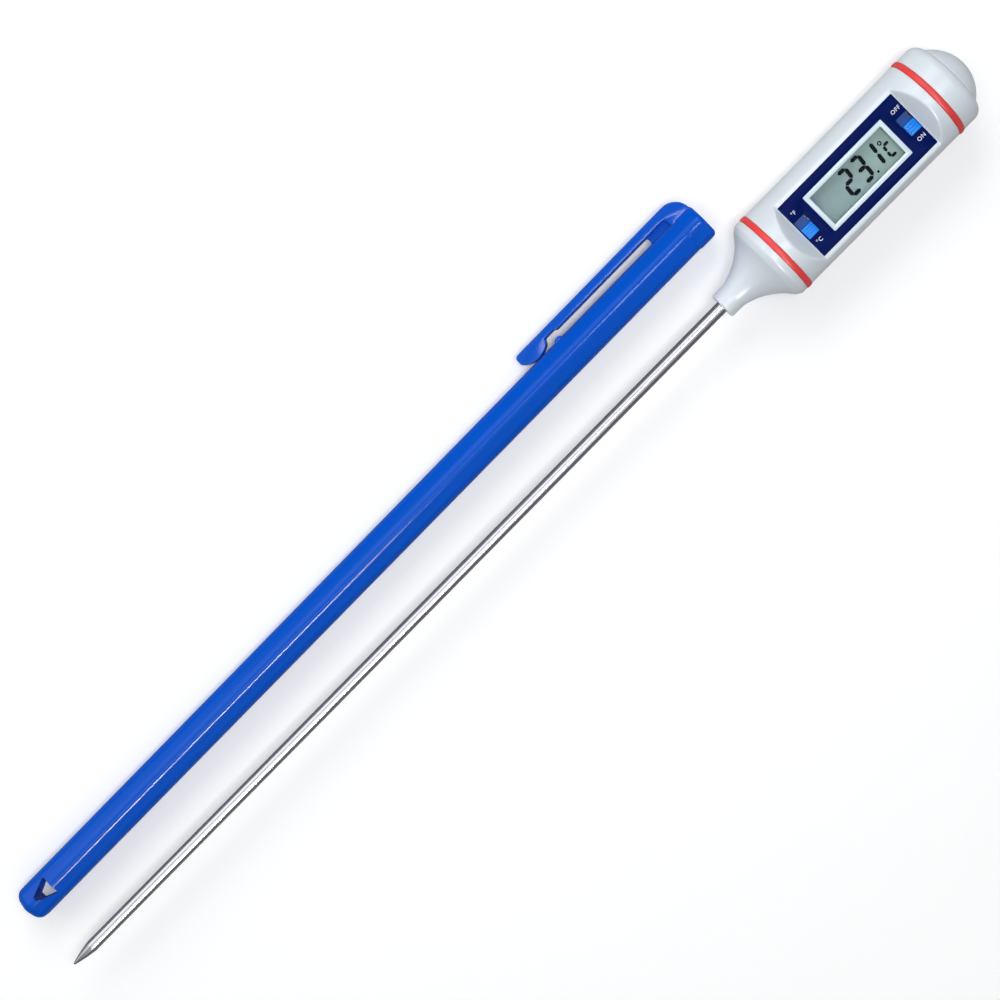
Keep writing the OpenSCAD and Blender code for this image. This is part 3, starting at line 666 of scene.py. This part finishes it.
# the two red rings
redRing = {"frontInner": 0.0082, "rearInner": 0.00775, "crownStart": 0.0001, "crown": 0.6}


def makeRing(name, box, innerRadius, bodyName, node):
    outer = box[1].y
    half = (box[1].x - box[0].x) / 2
    mid = (box[0].x + box[1].x) / 2
    shoulder = handleRadius - redRing["crownStart"]
    path = [(mid - half, innerRadius)]
    for k in range(13):
        a = math.pi * k / 12
        rise = (outer - shoulder) * math.sin(a) ** redRing["crown"]
        path.append((mid - half * math.cos(a), shoulder + rise))
    path.append((mid + half, innerRadius))
    return finishPiece(lathe(name, path, 192, 50), "red_rubber", bodyName, node)


makeStem(stem)
makeNose(nose)
makeRing("frontRing", frontRingBox, redRing["frontInner"], "thermometer", "front_seal_ring")
makeRing("rearRing", rearRingBox, redRing["rearInner"], "cap_seal", "rear_seal_ring")
print("stage 4: stem, nose and rings")


# the body: a tube with a flat pocket for the display and a threaded neck
body = {
    "flatDepth": 0.004,       # how far the panel's flat lies below the round
    "wall": 0.0012,
    "bore": 0.0082,
    "soft": 0.0004,           # rounding where the flat meets the round
    "slopeSoft": 0.0003,
    "frontSlope": 0.0032,     # length of the slope at each end of the flat
    "rearSlope": 0.0028,
    "endRound": 0.0002,
    "threadDepth": 0.00028,
    "threadPitch": 0.0015,
    "threadRadius": 0.0077,
    "wellRadius": 0.0061,
    "wellSlope": 0.0012,
}
knobSlot = {"halfWidth": 0.00235, "length": 0.003, "corner": 0.0002}
flatZ = handleRadius - body["flatDepth"]


def smoothMax(a, b, k):
    h = max(k - abs(a - b), 0) / k
    return max(a, b) + h * h * k / 4


def smoothMin(a, b, k):
    return -smoothMax(-a, -b, k)


def slotSpan(knobBox):
    mid = (knobBox[0].x + knobBox[1].x) / 2
    return mid - knobSlot["length"] / 2, mid + knobSlot["length"] / 2


def pocketHeight(x, drop):
    # height of the roof over the axis at x: the flat, the two end slopes, and open above
    x0, x1 = panelBox[0].x - 0.0001, panelBox[1].x + 0.0001
    slopeA = (x0 - x) / body["frontSlope"] * body["flatDepth"]
    slopeB = (x - x1) / body["rearSlope"] * body["flatDepth"]
    soft = body["slopeSoft"]
    rise = smoothMax(smoothMax(slopeA, slopeB, soft), 0.0, soft)
    return flatZ - drop + rise


def makeBody(b):
    x0, x1 = bodyBox[0].x, rearRingBox[0].x - 0.00004
    steps = 360
    stations = [x0, x0 + 0.00004, x0 + 0.0001, x0 + 0.00018]
    fine = int((x1 - x0 - 0.0004) / 0.0002)
    stations += [x0 + 0.0002 + (x1 - x0 - 0.0004) * k / fine for k in range(fine + 1)]
    stations += [x1 - 0.00018, x1 - 0.0001, x1 - 0.00004, x1]

    def endInset(x):
        edge, r = min(x - x0, x1 - x), b["endRound"]
        if edge >= r:
            return 0.0
        return r - math.sqrt(max(0.0, r ** 2 - (r - edge) ** 2))

    vertices, rings = [], []

    def addRing(x, radiusAt):
        rings.append(list(range(len(vertices), len(vertices) + steps)))
        for k in range(steps):
            a = 2 * math.pi * k / steps
            r = radiusAt(a)
            vertices.append((x, r * math.sin(a), r * math.cos(a)))

    for x in stations:
        roof, inset = pocketHeight(x, 0.0), endInset(x)

        def outerRadius(a, roof=roof, inset=inset):
            up = math.cos(a)
            full = handleRadius - inset
            return full if up < 0.05 else smoothMin(full, roof / up, b["soft"])
        addRing(x, outerRadius)
    neckX = bodyBox[1].x   # the threaded neck
    threadSteps = int((neckX - x1) / 0.0001)
    for k in range(threadSteps + 1):
        x = x1 + (neckX - x1) * k / threadSteps
        fade = min(1, (neckX - x) / 0.0004)

        def threadRadius(a, x=x, fade=fade):
            wave = 0.5 + 0.5 * math.cos(2 * math.pi * (x / b["threadPitch"]) - a)
            return b["threadRadius"] - b["threadDepth"] * (1 - wave ** 2 * fade)
        addRing(x, threadRadius)
    addRing(neckX, lambda a: b["wellRadius"])
    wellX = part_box("cell_plate")[0].x + 0.0001   # the battery's well, then the bore back to the nose
    boreX = wellX - b["wellSlope"]
    addRing(wellX, lambda a: b["wellRadius"])
    addRing(boreX, lambda a: b["wellRadius"] * 0.9)
    for k in range(61):
        x = boreX - (boreX - x0) * k / 60
        roof = pocketHeight(x, b["wall"])

        def boreRadius(a, roof=roof):
            up = math.cos(a)
            return smoothMin(b["bore"], roof / up, b["soft"]) if up > 0.05 else b["bore"]
        addRing(x, boreRadius)
    shell = newPiece("bodyTube", vertices, bandFaces(rings, True), 28)
    low, high = flatZ - 0.003, flatZ + 0.002
    gap = 0.00005
    cutters = [(windowBox[0].x - gap, windowBox[1].x + gap, windowBox[0].y - gap, windowBox[1].y + gap)]
    for knobBox in (powerKnobBox, unitKnobBox):
        cutters.append((*slotSpan(knobBox), -knobSlot["halfWidth"], knobSlot["halfWidth"]))
    cutWith(shell, joinPieces([slab("cutter", *sides, low, high) for sides in cutters]), 28)
    return finishPiece(shell, "white_plastic", "thermometer", "body_tube")


makeBody(body)
print("stage 5: body")


# the printed panel, the window frame and the switch labels
panel = {"edge": 0.00006, "corner": 0.0002}
window = {"rim": 0.001, "edge": 0.00018, "corner": 0.00025, "innerCorner": 0.00012, "gap": 0.00004}


def makePanel(p):
    plate = slab("facePanel", panelBox[0].x, panelBox[1].x, panelBox[0].y, panelBox[1].y,
                 panelBox[0].z, panelBox[1].z, p["corner"])
    low, high = panelBox[0].z - 0.001, panelBox[1].z + 0.001
    gap = window["gap"]
    cutWith(plate, slab("cutWindow", windowBox[0].x - gap, windowBox[1].x + gap, windowBox[0].y - gap,
                        windowBox[1].y + gap, low, high, window["corner"]))
    for knobBox in (powerKnobBox, unitKnobBox):
        x0, x1 = slotSpan(knobBox)
        cutWith(plate, slab("cutSlot", x0, x1, -knobSlot["halfWidth"], knobSlot["halfWidth"], low, high,
                            knobSlot["corner"]))
    softenEdges(plate, p["edge"], 2, 60)
    return finishPiece(plate, "navy_print", "thermometer", "face_panel")


def makeWindow(w):
    x0, x1, y0, y1 = windowBox[0].x, windowBox[1].x, windowBox[0].y, windowBox[1].y
    rim, gap = w["rim"], w["gap"]
    low, high = windowBox[0].z - 0.001, windowBox[1].z + 0.001
    bezel = slab("windowFrame", x0, x1, y0, y1, windowBox[0].z, windowBox[1].z, w["corner"])
    cutWith(bezel, slab("cutView", x0 + rim, x1 - rim, y0 + rim, y1 - rim, low, high, w["innerCorner"]))
    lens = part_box("window_lens")
    cutWith(bezel, slab("cutLens", lens[0].x - gap, lens[1].x + gap, lens[0].y - gap, lens[1].y + gap,
                        low, lens[1].z + 0.00003))
    softenEdges(bezel, w["edge"], 3, 60)
    return finishPiece(bezel, "window_plastic", "thermometer", "window_frame")


labels = {
    "size": 0.00126, "offset": 0.00395, "thickness": 0.00001, "spacing": 1.12,
    "words": [("labelOff", "OFF", "power", 1), ("labelOn", "ON", "power", -1),
              ("labelF", "°F", "unit", 1), ("labelC", "°C", "unit", -1)],
}


def makeLabels(spec):
    for name, word, which, side in spec["words"]:
        knobBox = powerKnobBox if which == "power" else unitKnobBox
        data = bpy.data.curves.new(name, "FONT")
        data.body = word
        data.size = spec["size"]
        data.align_x, data.align_y = "CENTER", "CENTER"
        data.extrude = spec["thickness"]
        data.space_character = spec["spacing"]
        text = bpy.data.objects.new(name, data)
        scene.collection.objects.link(text)
        text.location = ((knobBox[0].x + knobBox[1].x) / 2, side * spec["offset"],
                         panelBox[1].z + spec["thickness"])
        bpy.context.view_layer.update()
        mesh = bpy.data.meshes.new_from_object(text.evaluated_get(bpy.context.evaluated_depsgraph_get()))
        mesh.transform(text.matrix_world)
        bpy.data.objects.remove(text)
        piece = bpy.data.objects.new(name, mesh)
        scene.collection.objects.link(piece)
        finishPiece(piece, "labelInk", "thermometer")


makePanel(panel)
makeWindow(window)
makeLabels(labels)
print("stage 6: panel, window and labels")


# the slide switches: a ribbed knob on a sunken plate
knob = {
    "width": 0.0026,
    "length": 0.0028,
    "proud": 0.0008,        # above the panel
    "plateDrop": 0.0011,    # the sunken plate, below the panel
    "plateDepth": 0.0006,
    "corner": 0.0002,
    "edge": 0.00009,
    "ribs": 3,
    "ribPitch": 0.00062,
    "ribHalf": 0.00009,
    "ribDepth": 0.00012,
}


def makeKnob(name, box, bodyName, node):
    k = knob
    midX, midY = (box[0].x + box[1].x) / 2, (box[0].y + box[1].y) / 2
    top = panelBox[1].z + k["proud"]
    plateTop = panelBox[1].z - k["plateDrop"]
    bottom = plateTop - k["plateDepth"]
    x0, x1 = midX - k["length"] / 2, midX + k["length"] / 2
    block = slab(name, x0, x1, midY - k["width"] / 2, midY + k["width"] / 2, bottom, top, k["corner"])
    for i in range(k["ribs"]):
        y = midY + (i - (k["ribs"] - 1) / 2) * k["ribPitch"]
        cutWith(block, slab("cutRib", midX - 0.002, midX + 0.002, y - k["ribHalf"], y + k["ribHalf"],
                            top - k["ribDepth"], top + 0.001))
    softenEdges(block, k["edge"], 2, 50)
    plate = slab(name + "Plate", x0, x1, box[0].y, box[1].y, bottom, plateTop, k["corner"])
    finishPiece(block, "switch_blue", bodyName, node)
    # the plate gets the darker blue, painted shade for its sunken place in the slot
    finishPiece(plate, "shadedSwitchPlate", bodyName)


makeKnob("powerKnob", powerKnobBox, "power_knob", "power_switch_knob")
makeKnob("unitKnob", unitKnobBox, "unit_knob", "unit_switch_knob")


# the battery cap: rounded shoulder, groove and dome
cap = {
    "shoulder": 0.0022,
    "dome": 0.0042,
    "bore": 0.00775,
    "floor": 0.00505,       # how deep the bore goes
    "floorStep": 0.0016,    # and the step for the spring
    "floorLip": 0.002,
    "groove": 0.00012,
    "edge": 0.00018,
}


def makeCap(c):
    x0, x1 = capBox[0].x, capBox[1].x
    domeRadius = handleRadius - c["shoulder"]
    ball = (domeRadius ** 2 + c["dome"] ** 2) / (2 * c["dome"])
    shoulderX = x1 - c["dome"]
    path = roundedPath([(x0, c["bore"]), (x0, handleRadius, c["edge"]), (x0 + 0.001, handleRadius)])
    for k in range(17):
        a = math.radians(90 * k / 16)
        path.append((shoulderX - c["shoulder"] + c["shoulder"] * math.sin(a),
                     domeRadius + c["shoulder"] * math.cos(a)))
    path.append((shoulderX + 0.00002, domeRadius - c["groove"]))
    widest = math.asin((domeRadius - 1.5 * c["groove"]) / ball)
    for k in range(25):
        a = widest * (1 - k / 24)
        path.append((x1 - ball + ball * math.cos(a), ball * math.sin(a)))
    floorX = x0 + c["floor"]
    stepX, lip = floorX + c["floorStep"], c["bore"] - c["floorLip"]
    path += [(stepX, 0), (stepX, lip), (floorX, lip), (floorX, c["bore"])]
    return finishPiece(lathe("batteryCap", path, 192, 30), "white_plastic", "cap", "battery_cap")


makeCap(cap)
print("stage 7: knobs and cap")


# the six-sided sheath: closed end, collar, bore and hanging hole
sheath = {
    "halfFlat": 0.00406,      # half of the measure across the flats
    "edgeRound": 0.0024,
    "endRound": 0.0024,
    "endBulge": 0.0005,
    "collarLength": 0.0046,
    "collarProud": 0.00017,
    "collarRise": 0.0005,
    "mouthRound": 0.0011,
    "bore": 0.00315,
    "holeBack": 0.0045,       # from the closed end
    "holeLength": 0.0048,
    "holeWidth": 0.005,
    "holeTip": 0.0006,        # half the hole's width at its narrow end
    "holeCorner": 0.0004,
    "holeTipCorner": 0.0003,
    "holeSlant": 0.1,
}


def hexSection(half, cornerRound):
    reach = half / math.cos(math.radians(30))
    corners = []
    for k in range(6):
        a = math.radians(90 + 60 * k)
        corners.append((reach * math.cos(a), reach * math.sin(a), cornerRound))
    path = roundedPath(corners, 9)
    dense = []
    for i, point in enumerate(path):
        following = path[(i + 1) % len(path)]
        dense.append(point)
        if (following - point).length > half * 0.3:
            dense += [point.lerp(following, k / 4) for k in range(1, 4)]
    return dense


def rollOver(obj):
    # the sheath lies rolled over towards its clip
    lean = Vector(mounts["hanging_hole"]["axis"])
    turn = Matrix.Rotation(-math.atan2(lean.y, lean.z), 4, "X")
    centre = Matrix.Translation(sheathAxis)
    obj.data.transform(centre @ turn @ centre.inverted())


def makeSheath(s):
    x0, x1 = sheathBox[0].x, mouthX
    section = hexSection(s["halfFlat"], s["edgeRound"])
    count = len(section)
    vertices, rings = [], []

    def addRing(x, scale):
        rings.append(list(range(len(vertices), len(vertices) + count)))
        vertices.extend((x, sheathAxis.y + p.x * scale, sheathAxis.z + p.y * scale) for p in section)

    def addRound(x, radius):
        rings.append(list(range(len(vertices), len(vertices) + count)))
        vertices.extend((x, sheathAxis.y + radius * p.x / p.length, sheathAxis.z + radius * p.y / p.length)
                        for p in section)

    half, r = s["halfFlat"], s["endRound"]
    capScale = (half - r) / half
    for k in range(1, 7):
        t = k / 6
        addRing(x0 + s["endBulge"] * t * t, capScale * t)
    for k in range(1, 13):
        a = math.radians(90 * k / 12)
        addRing(x0 + s["endBulge"] + r * (1 - math.cos(a)), (half - r + r * math.sin(a)) / half)
    straight = x0 + s["endBulge"] + r
    collarX = x1 - s["collarLength"] - 0.0003
    for k in range(1, 60):
        addRing(straight + (collarX - straight) * k / 60, 1.0)
    grow = (half + s["collarProud"]) / half
    for k in range(7):
        t = k / 6
        addRing(collarX + s["collarRise"] * t, 1 + (grow - 1) * t * t * (3 - 2 * t))
    m = s["mouthRound"]
    addRing(x1 - m - 0.0008, grow)
    for k in range(9):
        a = math.radians(90 * k / 8)
        addRing(x1 - m + m * math.sin(a), grow - (m * 0.75 - m * 0.75 * math.cos(a)) / half)
    addRound(x1, s["bore"] + 0.0002)
    addRound(x1 - 0.0002, s["bore"])
    bottom = x0 + s["holeBack"]
    for k in range(1, 41):
        addRound(x1 - 0.0002 + (bottom - x1 + 0.0002) * k / 40, s["bore"])
    shell = newPiece("sheathTube", vertices, bandFaces(rings) + [list(reversed(rings[0])), rings[-1]], 40)
    wideX = bottom + s["holeLength"]
    wide, tip = s["holeWidth"] / 2, s["holeTip"]
    hole = roundedPath([(bottom, sheathAxis.y - tip, s["holeTipCorner"]),
                        (wideX, sheathAxis.y - wide, s["holeCorner"]),
                        (wideX, sheathAxis.y + wide, s["holeCorner"]),
                        (bottom, sheathAxis.y + tip, s["holeTipCorner"])], 5)
    cutter = prism("cutHole", hole, sheathAxis.z - 0.01, sheathAxis.z + 0.01)
    for vertex in cutter.data.vertices:  # leans towards the closed end as it goes down
        vertex.co.x += (vertex.co.z - sheathAxis.z - s["halfFlat"]) * s["holeSlant"]
    cutWith(shell, cutter, 40)
    rollOver(shell)
    return finishPiece(shell, "blue_plastic", "sheath", "sheath_tube")


# the pocket clip, drawn from the middle of the mouth, with the web and stop beside it
clip = {
    "setback": 0.0003,         # behind the mouth
    "gap": 0.0017,             # between the arm and the sheath
    "thickness": 0.0022,
    "width": 0.0045,
    "rootLength": 0.0055,
    "rootCorner": 0.0042,
    "rootDepth": 0.0006,       # how far the root goes into the sheath
    "footLength": 0.0075,
    "footRest": 0.00006,       # what is left between the foot and the sheath
    "waist": 0.00045,          # the arm is thinner above the stop
    "edge": 0.0006,
    "bendLength": 0.006,
    "webLength": 0.0063,
    "webThickness": 0.0012,
    "webEndRound": 0.0009,
    "stopX": 0.0096,           # from the clip's tip
    "stopHalf": 0.0011,
    "stopHeight": 0.00065,
    "stopEdge": 0.00015,
}


def makeClip(c):
    half = sheath["halfFlat"]
    y0, y1 = half + c["gap"], half + c["gap"] + c["thickness"]
    endX = -c["setback"]
    tipX = clipBox[0].x - mouthX
    rootX = endX - c["rootLength"]
    footX = tipX + c["footLength"] + 0.0002
    low = half - c["rootDepth"]
    foot = []
    for k in range(1, 12):
        t = k / 12
        drop = (c["gap"] - c["footRest"]) * math.sin(math.pi * t) ** 0.7
        foot.append((footX - c["footLength"] * t, y0 - drop))
    outline = [(tipX + 0.0001, y1, 0.0009), (tipX + 0.0001, y0 + 0.0001, 0.0004)]
    outline += list(reversed(foot))
    outline += [(footX, y0 + c["waist"], 0), (footX + 0.0027, y0 + c["waist"], 0.0003),
                (footX + 0.0033, y0, 0.0003), (rootX, y0, 0.0007), (rootX, low), (endX, low),
                (endX, y1, c["rootCorner"])]
    points = [(p.x + mouthX, p.y + sheathAxis.y) for p in roundedPath(outline, 8)]
    long = []
    for i, point in enumerate(points):
        following = points[(i + 1) % len(points)]
        long.append(point)
        extra = int(math.dist(point, following) / 0.0012)   # short sides along the outline
        long += [tuple(Vector(point).lerp(Vector(following), k / (extra + 1))) for k in range(1, extra + 1)]
    z = sheathAxis.z
    arm = prism("pocketClip", long, z - c["width"] / 2, z + c["width"] / 2, 40)
    softenEdges(arm, c["edge"], 4, 60, 40)
    rollOver(arm)
    paint(arm, "blue_plastic")
    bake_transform(arm)
    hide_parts("pocket_clip")
    webX = mouthX + rootX
    webEnd, webLow, webHigh = webX - c["webLength"], sheathAxis.y + low, sheathAxis.y + y0 + 0.0004
    outline = [(webX + 0.0003, webLow), (webX + 0.0003, webHigh), (webEnd, webHigh)]
    for k in range(9):
        a = math.radians(90 - 180 * k / 8)
        outline.append((webEnd + c["webEndRound"] * math.cos(a),
                        sheathAxis.y + half + c["gap"] / 2 + (c["gap"] / 2 + 0.0003) * math.sin(a)))
    outline.append((webEnd, webLow))
    web = prism("clipWeb", outline, z - c["webThickness"] / 2, z + c["webThickness"] / 2)
    rollOver(web)
    finishPiece(web, "blue_plastic", "sheath")
    stopX, stopY = mouthX + tipX + c["stopX"], sheathAxis.y + half - 0.0001
    outline = [(stopX + c["stopHalf"] * math.cos(math.radians(a)),
                stopY + c["stopHeight"] * math.sin(math.radians(a))) for a in range(-20, 201, 20)]
    stop = prism("clipStop", outline, z - c["width"] / 2 + 0.0002, z + c["width"] / 2 - 0.0002)
    softenEdges(stop, c["stopEdge"], 2, 60)
    rollOver(stop)
    finishPiece(stop, "blue_plastic", "sheath")


makeSheath(sheath)
makeClip(clip)
for blueName in ("sheathTube", "pocketClip", "clipWeb", "clipStop"):
    bpy.data.objects[blueName].visible_glossy = False   # kept out of the stem's reflections
print("stage 8: sheath and clip")


# the floor, which reflects darker than it looks so that metal keeps its contrast
floor = {"size": 3.0, "color": (0.9, 0.9, 0.905), "roughness": 0.7, "mirrored": 0.3, "glow": 0.2}


def makeFloor(f):
    z = cadBox[0][2]
    half = f["size"] / 2
    ground = newPiece("floor", [(-half, -half, z), (half, -half, z), (half, half, z), (-half, half, z)],
                      [[0, 1, 2, 3]])
    material, tree, shader = newMaterial("floorPaper", specular=0.2)
    surface = placeGroup(tree, mouldedGrain, {
        "Color": (*f["color"], 1), "Shade": 0.01, "Roughness": f["roughness"], "Grain Scale": 900.0})
    path = tree.nodes.new("ShaderNodeLightPath")
    dim = tree.nodes.new("ShaderNodeMix")
    dim.data_type = "RGBA"
    dim.inputs["B"].default_value = (f["mirrored"], f["mirrored"], f["mirrored"] * 1.05, 1)
    tree.links.new(path.outputs["Is Glossy Ray"], dim.inputs["Factor"])
    tree.links.new(surface.outputs["Color"], dim.inputs["A"])
    tree.links.new(dim.outputs["Result"], shader.inputs["Base Color"])
    tree.links.new(surface.outputs["Roughness"], shader.inputs["Roughness"])
    shader.inputs["Emission Color"].default_value = (1, 1, 1, 1)
    glow = mathNode(tree, "MULTIPLY", path.outputs["Is Camera Ray"], f["glow"])
    tree.links.new(glow, shader.inputs["Emission Strength"])
    ground.data.materials.append(material)


makeFloor(floor)
print("stage 9: floor")
